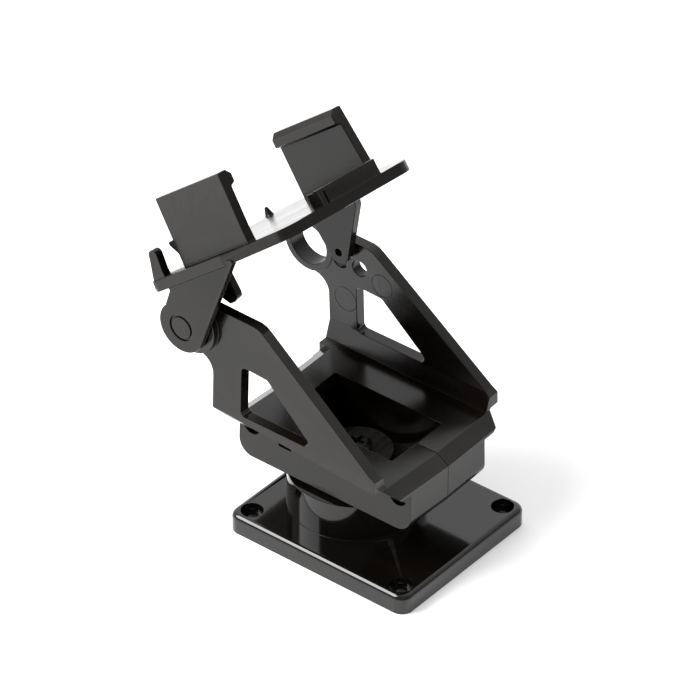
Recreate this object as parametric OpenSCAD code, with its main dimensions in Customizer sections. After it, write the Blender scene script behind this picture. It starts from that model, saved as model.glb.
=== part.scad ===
// Pan and tilt camera mount for two 9 g servos, in moulded black plastic.
// A screw-down base carries a two-part yoke that pans about Z, and a clip-on
// camera holder that tilts about X between the yoke's arms.
// Origin: middle of the four base holes, on the base's underside. +Y is forward.

/* [Base] */
// Width of the base plate along X
base_w = 34; // [31:0.5:40]
// Length of the base plate along Y
base_l = 38.6; // [36:0.1:46]
// Thickness of the base plate
base_t = 3.65; // [3:0.05:5]
// Corner radius of the base plate
base_corner_r = 2.3; // [1.5:0.1:4]
// Inset of each screw hole from the two nearest edges
hole_inset = 3.1; // [2.4:0.05:3.6]
// Diameter of each screw hole
hole_d = 2.4; // [1.6:0.1:2.8]
// Diameter of the round pan boss
boss_d = 24; // [20:0.5:28]
// Height of the pan boss's top above the underside
boss_top = 10.8; // [9.6:0.1:10.9]

/* [Yoke] */
// Length of the servo opening along Y
servo_l = 23; // [21:0.5:24]
// Width of the servo opening along X
servo_w = 13.4; // [12:0.1:13.6]
// Width of the servo box along X
box_w = 19.8; // [19:0.1:21]
// Length of the servo box along Y
box_l = 37.2; // [36.4:0.2:40]
// Height of the servo box's rim above the underside of the base
rim_z = 21.4; // [20.6:0.1:22.6]
// Outside distance between the two arms at their feet
arm_span = 33.6; // [32:0.1:36]
// Thickness of each arm
arm_t = 2.1; // [1.8:0.1:2.6]
// Inward lean of each moulded half, in degrees
lean = 2.3; // [0:0.1:3]

/* [Tilt] */
// Forward distance of the tilt axis from the pan axis
tilt_y = 22; // [21:0.5:24]
// Height of the tilt axis above the underside of the base
tilt_z = 39.4; // [38.6:0.1:41]
// Diameter of the bearing ring's bore in each arm
ring_bore_d = 7.9; // [7:0.1:8.2]
// Running clearance of each pivot in its bore, on the radius
clearance = 0.06; // [0.02:0.01:0.1]

/* [Camera holder] */
// Margin of the holder plate past its right clip and leg
plate_margin = 0.9; // [0:0.05:1.5]
// Length of the holder plate, front to back
plate_l = 34.3; // [32:0.1:38]
// Thickness of the holder plate
plate_t = 2; // [1.4:0.1:2.4]
// Clear distance between the two clips
clip_gap = 28.2; // [26:0.1:29]
// Width of each clip
clip_w = 17.8; // [12:0.1:20]
// Height of each clip above the plate
clip_h = 12.45; // [10:0.05:16]
// Nose-up angle of the holder at rest, in degrees
holder_angle = 38.4; // [20:0.1:45]
// Sideways set of the holder plate against the tilt axis, in degrees
plate_roll = 3.7; // [0:0.1:4]

/* [Hidden] */
$fn = 48;

eps = 0.01;
pan_y = 4.5;                             // pan axis, forward of the base's middle
hole_x = base_w / 2 - hole_inset;
hole_y = base_l / 2 - hole_inset;
counterbore_d = 3.9;
counterbore_depth = 1.8;
edge_r = 0.8;                            // rounding of the base's top edge
core_d = boss_d - 5;                     // hollow under the boss
core_top = boss_top - 5.4;

neck_d = 9.2;                            // spigot on the boss that the yoke turns on
floor_z = 11.1;                          // underside of the servo box
floor_t = 2.2;
neck_top = floor_z + floor_t + 0.25;
pan_washer_d = 12.4;
pan_washer_t = 0.8;
pan_screw_d = 2.6;
pan_head_d = 5;
pan_head_h = 1.7;
pan_screw_l = 6.6;

box_y = -1;                              // middle of the box, from the pan axis
servo_y = -1.3;                          // middle of the servo opening
box_front = box_y + box_l / 2;
box_back = box_y - box_l / 2;
box_corner_r = 3;
end_chamfer_y = 2.5;
end_chamfer_z = 1.6;
shelf_z = rim_z - 2.3;                   // underside of the web beside the box
web_out = arm_span / 2;
web_in = web_out - arm_t;
arm_z = rim_z + 2.2;                     // bottom edge of the arm's outer face
web_top = rim_z + 3.3;
lug_slot_l = 32.6;                       // slot for the servo's two ears
lug_slot_z = 16.2;
lug_slot_h = 2.6;

clamp_d = 2;                             // screws that join the two halves
clamp_head_d = 3.8;
clamp_head_h = 1.5;
clamp_l = 14;
clamp_seat_x = box_w / 2 - 1.9;          // where the screw heads seat
clamp_z = 13.6;
clamp_y = [box_back + 3.1, box_front - 3.6];

arm_front = box_front + 0.3;
ring_d = 10.4;
ring_l = 3.4;
ring_face = web_out - 16.3 * sin(lean) + 1.1;   // outer end of the bearing ring
notch_r = 3.3;
ring_z = rim_z + (tilt_z - rim_z - web_out * sin(lean)) / cos(lean);
notch_z = ring_z - ring_d / 2 - notch_r;
arm_top = ring_z + 4.7;
arm_knee = [7.9, arm_top];
arm_foot = [-15.9, rim_z + 3.4];
arm_end = [box_back, rim_z + 1.1];
arm_heel_y = arm_foot.x - (arm_foot.x - arm_end.x) * (arm_foot.y - arm_z) / (arm_foot.y - arm_end.y);
heel_drop = 2;                           // fall of the arm's lower edge towards its heel
window_r = 0.9;
servo_hole_d = 3.1;
servo_holes = [tilt_y - 6.9, tilt_y - 11.1];
servo_hole_z = tilt_z - 0.4;

plate_n = 6.35;                          // underside of the plate, from the tilt axis
plate_shift = 0.7;                       // sideways offset of the plate
plate_back = -2.5;
plate_top = plate_n + plate_t;
plate_mid = plate_back + plate_l / 2;
clip_t = 1.9;
clip_mid = 13.7;
lug_t = 1.3;
lug_in = ring_face + 0.2;
lug_out = lug_in + lug_t;
plate_left = (lug_out - plate_shift + plate_top * sin(plate_roll)) / cos(plate_roll);
lug_r = 4.7;
lug_mid = [0.55, 0.5];                   // middle of the lug's round end, off the axis
recess_d = 4.4;
pivot_d = ring_bore_d - 2 * clearance;
pivot_end = ring_face - ring_l - 0.2;
tilt_screw_d = 2;
tilt_head_d = 3.8;
tilt_head_h = 1.5;
tilt_screw_l = 4.4;
tilt_washer_d = 9.8;
tilt_washer_t = 0.6;
leg_out = ring_face - ring_l - 0.65;     // the leg stands just inside the right arm
leg_t = 1.6;
plate_right = max(clip_gap / 2 + clip_t, leg_out + 2.8) + plate_margin;
leg_tip = [8.6, -2.8];
leg_tip_r = 2.15;
horn_hole_d = 1.4;

// a rectangle with round corners, centred
module round_rect(size, r) {
    square([size.x - 2 * r, size.y], center = true);
    square([size.x, size.y - 2 * r], center = true);
    for (x = [-1, 1], y = [-1, 1])
        translate([x * (size.x / 2 - r), y * (size.y / 2 - r)]) circle(r);
}

// two circles joined by their outer tangents
module link(a, ra, b, rb) {
    d = norm(b - a);
    t = atan2(b.y - a.y, b.x - a.x);
    k = acos((ra - rb) / d);
    translate(a) circle(ra);
    translate(b) circle(rb);
    polygon([
        a + ra * [cos(t + k), sin(t + k)],
        a + ra * [cos(t - k), sin(t - k)],
        b + rb * [cos(t - k), sin(t - k)],
        b + rb * [cos(t + k), sin(t + k)]
    ]);
}

// extrudes a shape drawn in (Y, Z) along X, from x0 over length l
module along_x(x0, l) {
    translate([x0, 0, 0]) rotate([90, 0, 90]) linear_extrude(l) children();
}

// extrudes a shape drawn in (X, Z) along Y, from y0 over length l
module along_y(y0, l) {
    translate([0, y0 + l, 0]) rotate([90, 0, 0]) linear_extrude(l) children();
}

// a pan-head screw along +Z: the head stands on z = 0, the shank points down
module pan_head_screw(d, l, head_d, head_h, socket) {
    difference() {
        union() {
            cylinder(d = head_d, h = head_h * 0.6);
            translate([0, 0, head_h * 0.6]) cylinder(d1 = head_d, d2 = head_d * 0.7, h = head_h * 0.4);
            translate([0, 0, -l + d * 0.4]) cylinder(d = d, h = l - d * 0.4 + eps);
            translate([0, 0, -l]) cylinder(d1 = d * 0.4, d2 = d, h = d * 0.4);
        }
        for (a = [0, 90])
            rotate(a) translate([-socket / 2, -socket / 8, head_h * 0.5])
                cube([socket, socket / 4, head_h]);
    }
}

// -------- base --------
module base() {
    color([0.02, 0.02, 0.02]) difference() {
        union() {
            difference() {
                union() {
                    linear_extrude(base_t - edge_r) round_rect([base_w, base_l], base_corner_r);
                    for (i = [0:3]) {
                        a = 90 * (i + 0.5) / 4;
                        inset = edge_r * (1 - cos(a));
                        translate([0, 0, 1]) linear_extrude(base_t - edge_r + edge_r * sin(a + 11.25) - 1)
                            round_rect([base_w - 2 * inset, base_l - 2 * inset], base_corner_r - inset);
                    }
                    translate([0, pan_y, 1]) cylinder(d = boss_d, h = boss_top - 1, $fn = 96);
                    translate([0, pan_y, 1]) cylinder(d = neck_d, h = neck_top - 1);
                }
                translate([0, pan_y, -1]) cylinder(d = core_d, h = core_top + 1, $fn = 96);
            }
            // ribs that stiffen the hollow boss from the inside
            difference() {
                for (a = [0, 60, 120]) translate([0, pan_y, 0.6]) rotate(a)
                    translate([-core_d / 2 - 0.5, -0.6, 0]) cube([core_d + 1, 1.2, core_top]);
                translate([0, pan_y, -1]) cylinder(d = 6.2, h = core_top + 0.9);
            }
        }
        for (x = [-1, 1], y = [-1, 1]) translate([x * hole_x, y * hole_y, 0]) {
            translate([0, 0, -1]) cylinder(d = hole_d, h = base_t + 2);
            translate([0, 0, base_t - counterbore_depth]) cylinder(d = counterbore_d, h = 3);
        }
        translate([0, pan_y, neck_top - pan_screw_l]) cylinder(d = pan_screw_d, h = pan_screw_l + 1);
    }
}

// -------- yoke --------
// outline of one arm in (Y, Z), without its window
module arm_outline() {
    difference() {
        union() {
            translate([tilt_y, ring_z]) circle(d = ring_d - 0.4);
            polygon([
                [arm_front, arm_z], [arm_front, notch_z], [arm_front + notch_r, notch_z],
                [arm_front + notch_r, notch_z + notch_r], [tilt_y, ring_z],
                [tilt_y, ring_z + ring_d / 2 - 0.2], [tilt_y - 3, arm_top + 0.2],
                arm_knee + [1.2, 0], arm_knee + [0.1, -0.3], arm_knee + [-0.8, -0.9],
                arm_foot, [arm_heel_y, arm_z], [arm_heel_y, arm_z - heel_drop]
            ]);
        }
        translate([arm_front + notch_r, notch_z]) circle(notch_r);
    }
}

module arm_window() {
    z0 = web_top - 0.1 + window_r;
    y0 = arm_front - 6.2 - window_r;
    p = [[y0, z0], [y0, ring_z - 4.4 - window_r], [6.6, ring_z - 4.6 - window_r], [-1.9, z0]];
    polygon(p);
    for (i = [0:3]) link(p[i], window_r, p[(i + 1) % 4], window_r);
}

// one moulded half in its own upright frame, on the +X side
module half_body() {
    difference() {
        union() {
            // servo box with the sloped web that carries the arm
            intersection() {
                along_y(box_back, box_l + 0.3) polygon([
                    [-2, floor_z], [box_w / 2, floor_z], [box_w / 2, shelf_z],
                    [box_w / 2 + 2.5, shelf_z], [web_out, arm_z], [web_out, web_top],
                    [web_in, web_top], [web_in - 1.2, rim_z], [-2, rim_z]
                ]);
                along_x(-3, web_out + 4) polygon([
                    [box_back, floor_z + 20], [box_back, floor_z - 1], [arm_front, floor_z - 1],
                    [arm_front, floor_z + 20]
                ]);
            }
            along_x(web_in, arm_t) arm_outline();
        }
        // rounded ends of the box's underside
        for (s = [0, 1]) {
            y = s ? box_front : box_back;
            k = s ? -1 : 1;
            along_x(-3, box_w / 2 + 3) difference() {
                translate([y + k * box_corner_r / 2 - k * 0.5, floor_z + box_corner_r / 2 - 0.5])
                    square([box_corner_r + 1, box_corner_r + 1], center = true);
                translate([y + k * box_corner_r, floor_z + box_corner_r]) circle(box_corner_r);
            }
        }
        // the web stands past the box's front by the arm's own margin only
        along_x(-3, box_w / 2 + 3) translate([box_front, floor_z - 1]) square([2, 20]);
        // chamfers on both ends of the rim; the web and the arm stop where the near one starts
        along_x(-3, web_out + 5) polygon([
            [box_back - 1, rim_z + 20], [box_back - 1, rim_z - end_chamfer_z * 1.4],
            [box_back + end_chamfer_y, rim_z], [box_back + end_chamfer_y, rim_z + 20]
        ]);
        along_x(-3, web_in) polygon([
            [box_front + 1, rim_z + 0.6], [box_front + 1, rim_z - end_chamfer_z * 1.4],
            [box_front - end_chamfer_y, rim_z], [box_front - end_chamfer_y, rim_z + 0.6]
        ]);
        along_x(web_in - 1, arm_t + 2) arm_window();
        // trims the foot of the web level with the end of the arm
        along_x(web_in - 3, arm_t + 4) polygon([
            arm_foot, arm_end, [box_back - 2, arm_end.y], [box_back - 2, rim_z + 8], [arm_foot.x, rim_z + 8]
        ]);
        // four ventilation notches in the side wall under the web
        for (y = [-9, 6.2]) translate([box_w / 2 - 1.2, y, shelf_z - 3]) cube([2, 2.7, 0.9]);
        for (y = [-16.8, 14.8]) along_x(box_w / 2 - 1.2, 2) intersection() {
            translate([y, shelf_z - 1.4]) circle(1.8);
            translate([y - 2, shelf_z - 4]) square([4, 1.9]);
        }
    }
}

// one half leaned inward about the middle of the rim and cut at the seam
module yoke_half(screw_holes) {
    difference() {
        union() {
            translate([0, 0, rim_z]) rotate([0, -lean, 0]) translate([0, 0, -rim_z]) half_body();
            // bearing ring, square to the tilt axis
            translate([ring_face - ring_l, tilt_y, tilt_z]) rotate([0, 90, 0])
                cylinder(d = ring_d, h = ring_l);
        }
        // seam
        translate([-10, -40, 0]) cube([10, 80, 60]);
        // servo opening and the slot for the servo's ears
        translate([-1, servo_y - servo_l / 2, floor_z + floor_t])
            cube([servo_w / 2 + 1, servo_l, 20]);
        translate([-1, servo_y - lug_slot_l / 2, lug_slot_z])
            cube([servo_w / 2 + 1, lug_slot_l, lug_slot_h]);
        // pan bearing
        translate([0, 0, 0]) cylinder(d = neck_d + 2 * clearance, h = 20);
            // ring bore, and the two servo screw holes of the driven side
        translate([ring_face - ring_l - 1, tilt_y, tilt_z]) rotate([0, 90, 0])
            cylinder(d = ring_bore_d, h = ring_l + 2);
        if (screw_holes) for (y = servo_holes) translate([web_in - 4, y, servo_hole_z]) rotate([0, 90, 0])
            cylinder(d = servo_hole_d, h = 8);
    }
}

// pilot holes and head recesses of the clamp screws, driven from +X
module clamp_cuts(left) {
    for (y = clamp_y) translate([0, y, clamp_z]) rotate([0, 90, 0]) {
        if (left) translate([0, 0, clamp_seat_x - clamp_l]) cylinder(d = clamp_d, h = clamp_l);
        if (!left) translate([0, 0, -1]) cylinder(d = clamp_d + 0.4, h = 20);
        if (!left) translate([0, 0, clamp_seat_x]) cylinder(d = clamp_head_d + 0.4, h = 12);
    }
}

module yoke_right_half() {
    color([0.05, 0.05, 0.05]) translate([0, pan_y, 0]) difference() {
        yoke_half(true);
        clamp_cuts(false);
    }
}

module yoke_left_half() {
    color([0.05, 0.05, 0.05]) translate([0, pan_y, 0]) difference() {
        mirror([1, 0, 0]) yoke_half(false);
        clamp_cuts(true);
    }
}

module yoke_clamp_screws() {
    color([0.08, 0.08, 0.085]) for (y = clamp_y)
        translate([clamp_seat_x, pan_y + y, clamp_z]) rotate([0, 90, 0])
            pan_head_screw(clamp_d, clamp_l - 0.2, clamp_head_d, clamp_head_h, 2.2);
}

module pan_pivot_washer() {
    color([0.1, 0.1, 0.105]) translate([0, pan_y, neck_top]) difference() {
        cylinder(d = pan_washer_d, h = pan_washer_t);
        translate([0, 0, -1]) cylinder(d = pan_screw_d + 0.2, h = 3);
    }
}

module pan_pivot_screw() {
    color([0.08, 0.08, 0.085]) translate([0, pan_y, neck_top + pan_washer_t])
        pan_head_screw(pan_screw_d, pan_screw_l - 0.2, pan_head_d, pan_head_h, 2.8);
}

// -------- camera holder --------
// The holder is drawn level about the tilt axis, in (X, V, N): V runs to the
// back over the yoke and N is up, and then turned to its rest angle.
module at_rest() {
    translate([0, pan_y + tilt_y, tilt_z]) rotate([-holder_angle, 0, 0]) children();
}

module plate_frame() {
    translate([-plate_shift, 0, 0]) rotate([0, plate_roll, 0]) children();
}

module plate_outline() {
    hull() {
        translate([2 - plate_left, -plate_back - 2]) circle(2, $fn = 32);
        translate([2 - plate_left, -17.5]) circle(2, $fn = 32);
        translate([7 - plate_left, -plate_l - plate_back + 4]) circle(4, $fn = 32);
        translate([plate_right - 4, -plate_l - plate_back + 4]) circle(4, $fn = 32);
        translate([plate_right - 3, -plate_back - 3]) circle(3, $fn = 32);
    }
}

// one clip on the +X side: a flat tab with an inward hook along its top. Its far
// and near edges lean towards the near side by the given amounts over its height.
module clip(far_lean, near_lean) {
    g = clip_gap / 2;
    far = clip_mid - clip_w / 2;
    near = clip_mid + clip_w / 2;
    intersection() {
        translate([0, 0, plate_top]) rotate([90, 0, 0]) linear_extrude(40) polygon([
            [g, -0.5], [g, clip_h - 2.9], [g - 1, clip_h - 2.5], [g - 1, clip_h - 1],
            [g, clip_h], [g + clip_t, clip_h], [g + clip_t, -0.5]
        ]);
        along_x(g - 2, clip_t + 4) polygon([
            [-far, plate_top - 1], [-near, plate_top - 1], [-near, plate_top + 2.2],
            [-near - near_lean, plate_top + clip_h + 1], [-far - far_lean, plate_top + clip_h + 1]
        ]);
    }
}

module camera_holder() {
    color([0.05, 0.05, 0.05]) at_rest() difference() {
        union() {
            plate_frame() {
                difference() {
                    translate([0, 0, plate_n]) linear_extrude(plate_t) plate_outline();
                    // moulding slot beside the left clip
                    translate([-clip_gap / 2 - clip_t - 1.3, -clip_mid - 6.4, plate_n - 1])
                        cube([1, 12.8, plate_t + 2]);
                }
                clip(0.3, -1.2);
                mirror([1, 0, 0]) clip(1.2, 0.8);
                // low fence along the near edge, its left end turned back
                difference() {
                    translate([-5.6, -plate_l - plate_back + 0.02, plate_top - 0.5]) cube([14.2, 1.2, 3.3]);
                    translate([-4.7, -plate_l - plate_back - 1, plate_top]) cube([0.5, 1.7, 2.2]);
                }
                translate([-5.6, -plate_l - plate_back + 0.02, plate_top - 0.5]) cube([1.1, 3, 3.1]);
                // moulding pip near the far edge
                translate([plate_right - 6, -plate_back - 1, plate_top - 0.2])
                    cylinder(d1 = 1.8, d2 = 0.5, h = 1.8, $fn = 24);
                // small catch on the far edge of the left clip
                along_x(-clip_gap / 2 - clip_t, 1.4) polygon([
                    [-5.4, plate_top + 2], [-3.9, plate_top + 4.3], [-3.9, plate_top + 4.9], [-6, plate_top + 5.1]
                ]);
                // tapered post at the far left corner
                along_x(0.1 - plate_left, 1.6) union() {
                    polygon([
                        [1.2, plate_top - 0.5], [-0.8, plate_top + 4.1], [-2.8, plate_top + 4],
                        [-2.3, plate_top + 1.1], [-2.3, plate_top - 0.5]
                    ]);
                    translate([-1.8, plate_top + 4]) circle(1);
                }
            }
            // left lug with the pivot boss that turns in the left ring
            along_x(-lug_out, lug_t) union() {
                translate(lug_mid) circle(lug_r);
                link(lug_mid, lug_r - 0.05, [-19.2, plate_n + 1.4], 0.4);
                polygon([
                    [-2, plate_n + 2], [-1.6, plate_n + 0.7], [0.8, plate_n - 0.9], [3.3, lug_r - 2.2],
                    [0, 0], [-19.2, plate_n + 1.2], [-19.2, plate_n + 2]
                ]);
            }
            translate([-lug_in - eps, 0, 0]) rotate([0, 90, 0]) cylinder(d = pivot_d, h = lug_in - pivot_end + eps);
            // short ear behind the left arm
            along_x(-12.6, 1.4) polygon([
                [-5.3, plate_n + 1.1], [-5.3, 1.6], [-6.4, 0.15], [-7.7, 0.2], [-8.8, 0.7], [-9.1, 1.5],
                [-9.5, plate_n + 1.1]
            ]);
            // right leg, just inside the right arm
            along_x(leg_out - leg_t, leg_t) union() {
                translate([-leg_tip.x, leg_tip.y]) circle(leg_tip_r);
                polygon([
                    [-leg_tip.x + leg_tip_r, leg_tip.y], [-leg_tip.x + leg_tip_r, plate_n + 0.3],
                    [-19.8, plate_n + 0.3], [-18.2, 3.3], [-leg_tip.x - leg_tip_r * 0.94, leg_tip.y - 1]
                ]);
            }
        }
        // ring mark on the lug's outer face
        translate([-lug_out - 1, lug_mid.x, lug_mid.y]) rotate([0, 90, 0]) difference() {
            cylinder(d = recess_d + 0.5, h = 1.4);
            translate([0, 0, -1]) cylinder(d = recess_d - 0.3, h = 4);
        }
        translate([-lug_out, 0, 0]) rotate([0, 90, 0]) translate([0, 0, lug_out - pivot_end - tilt_screw_l])
            cylinder(d = tilt_screw_d, h = 20);
        translate([leg_out - 3, -leg_tip.x, leg_tip.y]) rotate([0, 90, 0]) cylinder(d = horn_hole_d, h = 6);
    }
}

module tilt_pivot_washer() {
    color([0.1, 0.1, 0.105]) at_rest() translate([-pivot_end, 0, 0]) rotate([0, 90, 0]) difference() {
        cylinder(d = tilt_washer_d, h = tilt_washer_t);
        translate([0, 0, -1]) cylinder(d = tilt_screw_d + 0.2, h = 3);
    }
}

module tilt_pivot_screw() {
    color([0.08, 0.08, 0.085]) at_rest() translate([-pivot_end + tilt_washer_t, 0, 0]) rotate([0, 90, 0])
        pan_head_screw(tilt_screw_d, tilt_screw_l - 0.2, tilt_head_d, tilt_head_h, 2.2);
}

base();
yoke_left_half();
yoke_right_half();
camera_holder();
pan_pivot_screw();
pan_pivot_washer();
yoke_clamp_screws();
tilt_pivot_screw();
tilt_pivot_washer();
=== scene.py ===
"""Looks for the pan and tilt camera mount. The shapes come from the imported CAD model."""
import math

import bmesh
import bpy
from mathutils import Matrix, Vector
from mathutils.bvhtree import BVHTree


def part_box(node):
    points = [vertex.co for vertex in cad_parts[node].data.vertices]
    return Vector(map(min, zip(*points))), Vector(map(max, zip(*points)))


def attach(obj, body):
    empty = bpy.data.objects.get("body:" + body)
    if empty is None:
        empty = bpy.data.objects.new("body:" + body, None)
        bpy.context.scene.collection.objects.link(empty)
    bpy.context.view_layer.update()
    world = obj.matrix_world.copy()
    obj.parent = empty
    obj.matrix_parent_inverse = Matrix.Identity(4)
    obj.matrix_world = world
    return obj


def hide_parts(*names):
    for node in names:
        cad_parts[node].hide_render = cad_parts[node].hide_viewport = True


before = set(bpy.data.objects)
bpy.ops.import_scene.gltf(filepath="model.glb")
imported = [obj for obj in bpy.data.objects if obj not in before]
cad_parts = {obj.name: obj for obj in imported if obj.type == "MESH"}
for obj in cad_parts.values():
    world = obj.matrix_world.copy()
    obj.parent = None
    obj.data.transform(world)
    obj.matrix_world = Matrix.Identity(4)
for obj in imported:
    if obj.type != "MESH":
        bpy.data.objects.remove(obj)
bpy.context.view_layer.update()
scene = bpy.context.scene
MM = 0.001


# ---- camera: fitted to the photo's viewing angle ----------------------------
AZIMUTH = math.radians(-51.21565)      # 0 looks along +Y, and plus is a view from the +X side
ELEVATION = math.radians(35.74561)
ROLL = math.radians(0.2168)
LENS = 259.313                         # mm, on a sensor 36 mm wide
SENSOR = 36.0
PLACE = Vector((-0.534684, -0.423543, 0.527816))


def make_camera():
    back = Vector((math.sin(AZIMUTH) * math.cos(ELEVATION),
                   -math.cos(AZIMUTH) * math.cos(ELEVATION), math.sin(ELEVATION)))
    right = Vector((math.cos(AZIMUTH), math.sin(AZIMUTH), 0.0))
    up = back.cross(right)
    c, s = math.cos(ROLL), math.sin(ROLL)
    right, up = c * right + s * up, c * up - s * right
    data = bpy.data.cameras.new("camera")
    data.lens = LENS
    data.sensor_width = SENSOR
    data.clip_start = 0.05
    data.clip_end = 20.0
    cam = bpy.data.objects.new("camera", data)
    scene.collection.objects.link(cam)
    m = Matrix((right, up, back)).transposed().to_4x4()
    m.translation = PLACE
    cam.matrix_world = m
    scene.camera = cam


# ---- materials ---------------------------------------------------------------
class Nodes:
    """Short calls for building a node tree."""

    def __init__(self, tree):
        self.tree = tree

    def add(self, kind, **values):
        n = self.tree.nodes.new(kind)
        for key, value in values.items():
            if hasattr(n, key):
                setattr(n, key, value)
            else:
                n.inputs[key].default_value = value
        return n

    def join(self, a, b):
        self.tree.links.new(a, b)

    def noise(self, coords, scale, detail=2.0, rough=0.5, stretch=None):
        n = self.add("ShaderNodeTexNoise")
        n.inputs["Scale"].default_value = scale
        n.inputs["Detail"].default_value = detail
        n.inputs["Roughness"].default_value = rough
        if stretch:
            m = self.add("ShaderNodeMapping")
            m.inputs["Scale"].default_value = stretch
            self.join(coords, m.inputs["Vector"])
            coords = m.outputs["Vector"]
        self.join(coords, n.inputs["Vector"])
        return n.outputs["Fac"]

    def ranged(self, value, a, b, c, d):
        n = self.add("ShaderNodeMapRange")
        for key, x in zip(("From Min", "From Max", "To Min", "To Max"), (a, b, c, d)):
            n.inputs[key].default_value = x
        self.join(value, n.inputs["Value"])
        return n.outputs["Result"]

    def math(self, op, a, b):
        n = self.add("ShaderNodeMath", operation=op)
        for i, x in enumerate((a, b)):
            if isinstance(x, (int, float)):
                n.inputs[i].default_value = x
            else:
                self.join(x, n.inputs[i])
        return n.outputs[0]

    def mix_colour(self, fac, a, b):
        n = self.add("ShaderNodeMix", data_type="RGBA")
        for sock, x in ((n.inputs[0], fac), (n.inputs[6], a), (n.inputs[7], b)):
            if isinstance(x, tuple):
                sock.default_value = (*x, 1.0)
            else:
                self.join(x, sock)
        return n.outputs[2]


FLOW_SCALE = 140.0                     # noise scales, in features per metre
MARKS_SCALE = 420.0
EDGE_FROM, EDGE_TO = 0.53, 0.62        # pointiness over which an edge goes from flat to worn
BUMP_HEIGHT = 0.04 * MM
COAT_ROUGH = 0.06


def plastic(name, dark, light, worn, rough, grain, grain_size,
            ior=1.5, coat=0.0, metal=0.0):
    """Moulded plastic: flow mottling, fine grain, hairline handling marks and polished edges."""
    mat = bpy.data.materials.new(name)
    mat.use_nodes = True
    tree = mat.node_tree
    tree.nodes.clear()
    k = Nodes(tree)
    out = k.add("ShaderNodeOutputMaterial")
    bsdf = k.add("ShaderNodeBsdfPrincipled")
    k.join(bsdf.outputs[0], out.inputs[0])
    at = k.add("ShaderNodeTexCoord").outputs["Object"]
    flow = k.noise(at, FLOW_SCALE, detail=4.0, rough=0.55, stretch=(1.0, 0.6, 1.4))
    fine = k.noise(at, 1.0 / grain_size, detail=3.0, rough=0.6)
    marks = k.noise(at, MARKS_SCALE, detail=5.0, rough=0.7, stretch=(0.25, 3.0, 1.0))
    edge = k.add("ShaderNodeNewGeometry").outputs["Pointiness"]
    edge = k.ranged(edge, EDGE_FROM, EDGE_TO, 0.0, 1.0)
    wear = k.math("MULTIPLY", edge, k.ranged(marks, 0.35, 0.65, 0.25, 1.0))
    body = k.mix_colour(k.ranged(flow, 0.3, 0.7, 0.0, 1.0), dark, light)
    k.join(k.mix_colour(wear, body, worn), bsdf.inputs["Base Color"])
    r = k.ranged(flow, 0.3, 0.7, rough * 0.85, rough * 1.15)
    r = k.math("ADD", r, k.ranged(marks, 0.55, 0.8, 0.0, rough * 0.35))
    r = k.math("SUBTRACT", r, k.math("MULTIPLY", wear, rough * 0.3))
    k.join(r, bsdf.inputs["Roughness"])
    bump = k.add("ShaderNodeBump")
    bump.inputs["Strength"].default_value = grain
    bump.inputs["Distance"].default_value = BUMP_HEIGHT
    height = k.math("ADD", k.math("MULTIPLY", fine, 0.8), k.math("MULTIPLY", flow, 0.25))
    k.join(height, bump.inputs["Height"])
    k.join(bump.outputs["Normal"], bsdf.inputs["Normal"])
    bsdf.inputs["IOR"].default_value = ior
    bsdf.inputs["Metallic"].default_value = metal
    if coat:
        bsdf.inputs["Coat Weight"].default_value = coat
        bsdf.inputs["Coat Roughness"].default_value = COAT_ROUGH
    return mat


GLOSS = plastic("gloss_black_plastic", dark=(0.0022, 0.0017, 0.0013),
                light=(0.0042, 0.0033, 0.0026), worn=(0.020, 0.018, 0.016),
                rough=0.10, grain=0.04, grain_size=0.0006, coat=0.15)
SATIN = plastic("satin_black_plastic", dark=(0.0030, 0.0021, 0.0014),
                light=(0.0062, 0.0046, 0.0034), worn=(0.038, 0.034, 0.030),
                rough=0.19, grain=0.10, grain_size=0.00022, ior=1.43)
HOLDER = plastic("satin_black_plastic_holder", dark=(0.0026, 0.0019, 0.0013),
                 light=(0.0054, 0.0041, 0.0031), worn=(0.034, 0.030, 0.027),
                 rough=0.19, grain=0.10, grain_size=0.00025, ior=1.37)
STEEL = plastic("black_oxide_steel", dark=(0.010, 0.010, 0.010),
                light=(0.020, 0.019, 0.018), worn=(0.09, 0.085, 0.08),
                rough=0.38, grain=0.3, grain_size=0.00030, metal=0.6)


# ---- pieces ------------------------------------------------------------------
WELD = 4e-6                            # points closer than this are one
FLAT_ANGLE = math.radians(0.6)         # facets that differ by less are one flat face
# Once its flat faces are merged, this node's outer side wall renders broken.
KEEPS_TRIANGLES = {"yoke_right_half"}


def cleaned(node, mat):
    """A copy of a CAD node's mesh with its split points joined and its flat faces merged."""
    bm = bmesh.new()
    bm.from_mesh(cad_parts[node].data)
    bmesh.ops.remove_doubles(bm, verts=bm.verts, dist=WELD)
    bmesh.ops.dissolve_degenerate(bm, dist=WELD, edges=bm.edges)
    if node not in KEEPS_TRIANGLES:
        bmesh.ops.dissolve_limit(bm, angle_limit=FLAT_ANGLE, verts=bm.verts, edges=bm.edges)
    mesh = bpy.data.meshes.new(node + "_body")
    bm.to_mesh(mesh)
    bm.free()
    obj = bpy.data.objects.new(node + "_body", mesh)
    scene.collection.objects.link(obj)
    mesh.materials.clear()
    for _ in range(2):                   # the second slot marks the rounded edges while they are made
        mesh.materials.append(mat)
    for p in mesh.polygons:
        p.material_index = 0
    return obj


def applied(obj):
    """Replaces an object's mesh by what its modifiers make of it."""
    graph = bpy.context.evaluated_depsgraph_get()
    done = bpy.data.meshes.new_from_object(obj.evaluated_get(graph), depsgraph=graph)
    obj.modifiers.clear()
    obj.data = done


CURVE_HIGH = 28.0                      # degrees: facets that differ by more meet at an edge
NO_AREA = 1e-12


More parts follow.
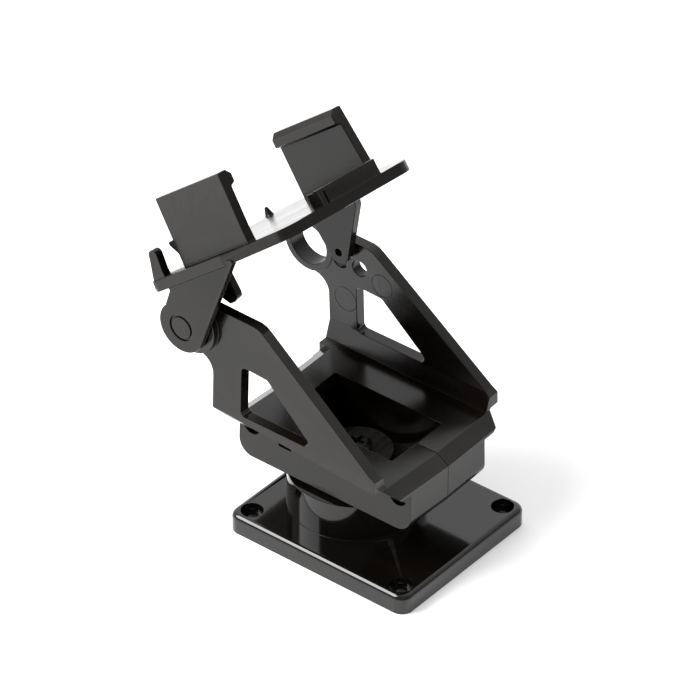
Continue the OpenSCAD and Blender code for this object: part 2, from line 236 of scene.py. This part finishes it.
def settle_normals(mesh, curve_low):
    """Keeps flats flat and curved walls smooth, and lets each rounded edge run between them.

    The facets of a curved wall differ by curve_low to CURVE_HIGH degrees. A rounded edge's
    facets are those with the second material, which is dropped at the end."""
    at = [[] for _ in mesh.vertices]
    for p in mesh.polygons:
        for v in p.vertices:
            at[v].append(p.index)
    normal = [p.normal.copy() for p in mesh.polygons]
    area_of = [p.area for p in mesh.polygons]
    rim = [p.material_index == 1 for p in mesh.polygons]
    low, high = math.cos(math.radians(curve_low)), math.cos(math.radians(CURVE_HIGH))
    same = math.cos(FLAT_ANGLE)
    result = []
    for p in mesh.polygons:
        for v in p.vertices:
            walls = [q for q in at[v] if not rim[q]]
            if rim[p.index]:
                near = walls or at[v]
                lead = max(near, key=lambda q: normal[q].dot(normal[p.index]))
                group = [q for q in near if normal[q].dot(normal[lead]) > high]
            else:
                group = [q for q in walls
                         if q == p.index or normal[q].dot(normal[p.index]) > same
                         or high < normal[q].dot(normal[p.index]) < low]
            total = Vector((0, 0, 0))
            for q in group:
                total += normal[q] * max(area_of[q], NO_AREA)
            result.append(total.normalized() if total.length > 0 else normal[p.index])
    for p in mesh.polygons:
        p.use_smooth = True
        p.material_index = 0
    mesh.materials.pop()
    mesh.normals_split_custom_set(result)


SHARP = math.radians(32.0)             # edges sharper than this are rounded
STRAY = 0.6                            # share of the width that a point may leave the surface by


def rounded(obj, width, curve_low):
    """Rounds an object's sharp edges in its mesh."""
    skin = BVHTree.FromPolygons([v.co.copy() for v in obj.data.vertices],
                                [tuple(p.vertices) for p in obj.data.polygons])
    mod = obj.modifiers.new("edges", "BEVEL")
    mod.width = width
    mod.segments = 2
    mod.limit_method = "ANGLE"
    mod.angle_limit = SHARP
    mod.use_clamp_overlap = False
    mod.miter_outer = "MITER_ARC"
    mod.material = 1
    applied(obj)
    # a point that a crowded corner threw off goes back to the surface
    for v in obj.data.vertices:
        place, _, _, gap = skin.find_nearest(v.co)
        if gap > STRAY * width:
            v.co = place
    obj.data.update()
    settle_normals(obj.data, curve_low)


def loop_of(half_x, half_y, radius, z, steps=8):
    """Points of a rectangle with round corners, centred on the origin at height z."""
    points = []
    for quarter, (sx, sy) in enumerate(((1, 1), (-1, 1), (-1, -1), (1, -1))):
        for i in range(steps + 1):
            a = math.radians(90 * quarter + 90 * i / steps)
            points.append((sx * (half_x - radius) + radius * math.cos(a),
                           sy * (half_y - radius) + radius * math.sin(a), z))
    return points


def mesh_object(name, bm):
    """Puts a bmesh into the scene as an object, and frees it."""
    mesh = bpy.data.meshes.new(name)
    bm.to_mesh(mesh)
    bm.free()
    obj = bpy.data.objects.new(name, mesh)
    scene.collection.objects.link(obj)
    return obj


def lofted(name, loops):
    """A closed solid through loops that all have the same number of points, from the lowest up."""
    bm = bmesh.new()
    rings = [[bm.verts.new(p) for p in loop] for loop in loops]
    for below, above in zip(rings, rings[1:]):
        for i in range(len(below)):
            j = (i + 1) % len(below)
            bm.faces.new((below[i], below[j], above[j], above[i]))
    bm.faces.new(rings[0][::-1])
    bm.faces.new(rings[-1])
    return mesh_object(name, bm)


def boolean(obj, other, how):
    """Joins or trims an object's mesh by another object, which is used up."""
    mod = obj.modifiers.new(how.lower(), "BOOLEAN")
    mod.operation = how
    mod.solver = "EXACT"
    mod.object = other
    applied(obj)
    bpy.data.objects.remove(other)


BASE_T = 3.65 * MM
BASE_CORNER = 2.3 * MM
BASE_EDGE = 1.0 * MM                   # radius of the top edge's round
ROUND_STEPS = 8
SPARE = MM                             # how far the trim solid stands off where it cuts nothing
PROUD = 0.02 * MM                      # keeps its upright walls off the plate's own
FOOT_TOP = 0.3 * MM
WALL_FROM = 1.2 * MM
BOSS_CLEAR = 12.8 * MM                 # radius of the column that leaves the pan boss alone
BOSS_STEPS = 96
COLUMN_FOOT, COLUMN_TOP = MM, 16 * MM
PAN_Y = 4.5 * MM


def round_base_edge(obj):
    """Trims the base plate's stepped top edge to one smooth round."""
    low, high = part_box("base")
    half_x, half_y = (high[0] - low[0]) / 2, (high[1] - low[1]) / 2

    def outline(grown, z):
        return loop_of(half_x + grown, half_y + grown, BASE_CORNER + grown, z)

    loops = [outline(SPARE, -SPARE), outline(SPARE, FOOT_TOP), outline(PROUD, WALL_FROM)]
    for i in range(ROUND_STEPS + 1):
        a = math.radians(90 * i / ROUND_STEPS)
        inset = BASE_EDGE * (1 - math.cos(a)) - (PROUD if i == 0 else 0.0)
        loops.append(outline(-inset, BASE_T - BASE_EDGE + BASE_EDGE * math.sin(a)))
    trim = lofted("base_trim", loops)
    turns = [math.radians(360 / BOSS_STEPS * i) for i in range(BOSS_STEPS)]
    ring = [(BOSS_CLEAR * math.cos(t), PAN_Y + BOSS_CLEAR * math.sin(t)) for t in turns]
    column = lofted("base_column", [[(x, y, z) for x, y in ring] for z in (COLUMN_FOOT, COLUMN_TOP)])
    boolean(trim, column, "UNION")
    boolean(obj, trim, "INTERSECT")
    for p in obj.data.polygons:
        p.material_index = 0


# The right arm's inner face leans inward from the rim up, by LEAN.
RIM_Z = 21.4 * MM
ARM_INNER = 14.69 * MM
LEAN = math.radians(2.3)
MARK_STEPS, MARK_SIDES = 64, 6
MARK_HALF_WIDTH = 0.10                 # mm
MARK_HEIGHT = 0.05 * MM


def ejector_mark(name, z, y, radius):
    """A faint raised ring on the right arm's inner face; its place and radius are in mm."""
    bm = bmesh.new()
    rings = []
    for i in range(MARK_STEPS):
        a = 2 * math.pi * i / MARK_STEPS
        ring = []
        for j in range(MARK_SIDES):
            b = 2 * math.pi * j / MARK_SIDES
            r = (radius + MARK_HALF_WIDTH * math.cos(b)) * MM
            dy, dz = r * math.cos(a), r * math.sin(a)
            height = z * MM + dz
            x = ARM_INNER - (height - RIM_Z) * math.sin(LEAN) - MARK_HEIGHT * math.sin(b)
            ring.append(bm.verts.new((x, y * MM + dy, height)))
        rings.append(ring)
    for i, ring in enumerate(rings):
        after = rings[(i + 1) % MARK_STEPS]
        for j in range(MARK_SIDES):
            k = (j + 1) % MARK_SIDES
            bm.faces.new((ring[j], ring[k], after[k], after[j]))
    bmesh.ops.recalc_face_normals(bm, faces=bm.faces)
    for f in bm.faces:
        f.smooth = True
    mark = mesh_object(name, bm)
    mark.data.materials.append(SATIN)
    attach(mark, "yoke")


BODY_OF = {
    "base": "base", "yoke_left_half": "yoke",
    "yoke_right_half": "yoke", "camera_holder": "holder",
}
# node: (edge radius, material, least angle between the facets of a curved wall)
LOOK = {
    "base": (0.12 * MM, GLOSS, 2.0), "yoke_left_half": (0.16 * MM, SATIN, 4.4),
    "yoke_right_half": (0.16 * MM, SATIN, 4.4), "camera_holder": (0.16 * MM, HOLDER, 4.6),
}

make_camera()
for node, (width, mat, curve_low) in LOOK.items():
    piece = cleaned(node, mat)
    if node == "base":
        round_base_edge(piece)
    rounded(piece, width, curve_low)
    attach(piece, BODY_OF[node])
    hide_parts(node)
ejector_mark("ejector_mark_low", z=31.1, y=18.7, radius=2.36)
ejector_mark("ejector_mark_high", z=37.5, y=10.6, radius=2.2)
for node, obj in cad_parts.items():
    if node not in LOOK:
        obj.data.materials.clear()
        obj.data.materials.append(STEEL)


# ---- floor and light ---------------------------------------------------------
FLOOR_RADIUS = 4.0
FLOOR_GREY = 0.9
FLOOR_GLOW = 0.30                      # lifts the floor to the photo's white
BRIGHT_SIDE = Vector((0.633, 0.508, 0.584))     # where reflections see the brightest studio


def make_floor():
    """A plain pale disc."""
    bm = bmesh.new()
    bmesh.ops.create_circle(bm, cap_ends=True, segments=64, radius=FLOOR_RADIUS)
    floor = mesh_object("floor", bm)
    mat = bpy.data.materials.new("floor")
    mat.use_nodes = True
    bsdf = mat.node_tree.nodes["Principled BSDF"]
    bsdf.inputs["Base Color"].default_value = (FLOOR_GREY, FLOOR_GREY, FLOOR_GREY, 1)
    bsdf.inputs["Roughness"].default_value = 0.9
    bsdf.inputs["Specular IOR Level"].default_value = 0.0
    bsdf.inputs["Emission Color"].default_value = (1, 1, 1, 1)
    bsdf.inputs["Emission Strength"].default_value = FLOOR_GLOW
    floor.data.materials.append(mat)


def area(name, place, target, size, power):
    """A square soft light that faces its target."""
    data = bpy.data.lights.new(name, "AREA")
    data.energy = power
    data.size = size
    light = bpy.data.objects.new(name, data)
    scene.collection.objects.link(light)
    light.location = place
    light.rotation_euler = (Vector(target) - Vector(place)).to_track_quat("-Z", "Y").to_euler()


def make_world():
    """White to the camera. Reflections see a gradient that is brightest at BRIGHT_SIDE."""
    world = bpy.data.worlds.new("studio")
    scene.world = world
    world.use_nodes = True
    tree = world.node_tree
    tree.nodes.clear()
    k = Nodes(tree)
    out = k.add("ShaderNodeOutputWorld")
    back = k.add("ShaderNodeBackground")
    k.join(back.outputs[0], out.inputs[0])
    way = k.add("ShaderNodeTexCoord").outputs["Generated"]
    dot = k.add("ShaderNodeVectorMath", operation="DOT_PRODUCT")
    k.join(way, dot.inputs[0])
    dot.inputs[1].default_value = BRIGHT_SIDE
    level = k.ranged(dot.outputs["Value"], 0.2, 0.95, 0.45, 1.5)
    seen = k.add("ShaderNodeLightPath").outputs["Is Camera Ray"]
    k.join(k.math("MAXIMUM", level, seen), back.inputs["Strength"])


make_floor()
make_world()
area("key", place=(-0.465, 0.508, 0.724), target=(0, 0, 0.03), size=0.62, power=14.0)
scene.view_settings.view_transform = "Standard"
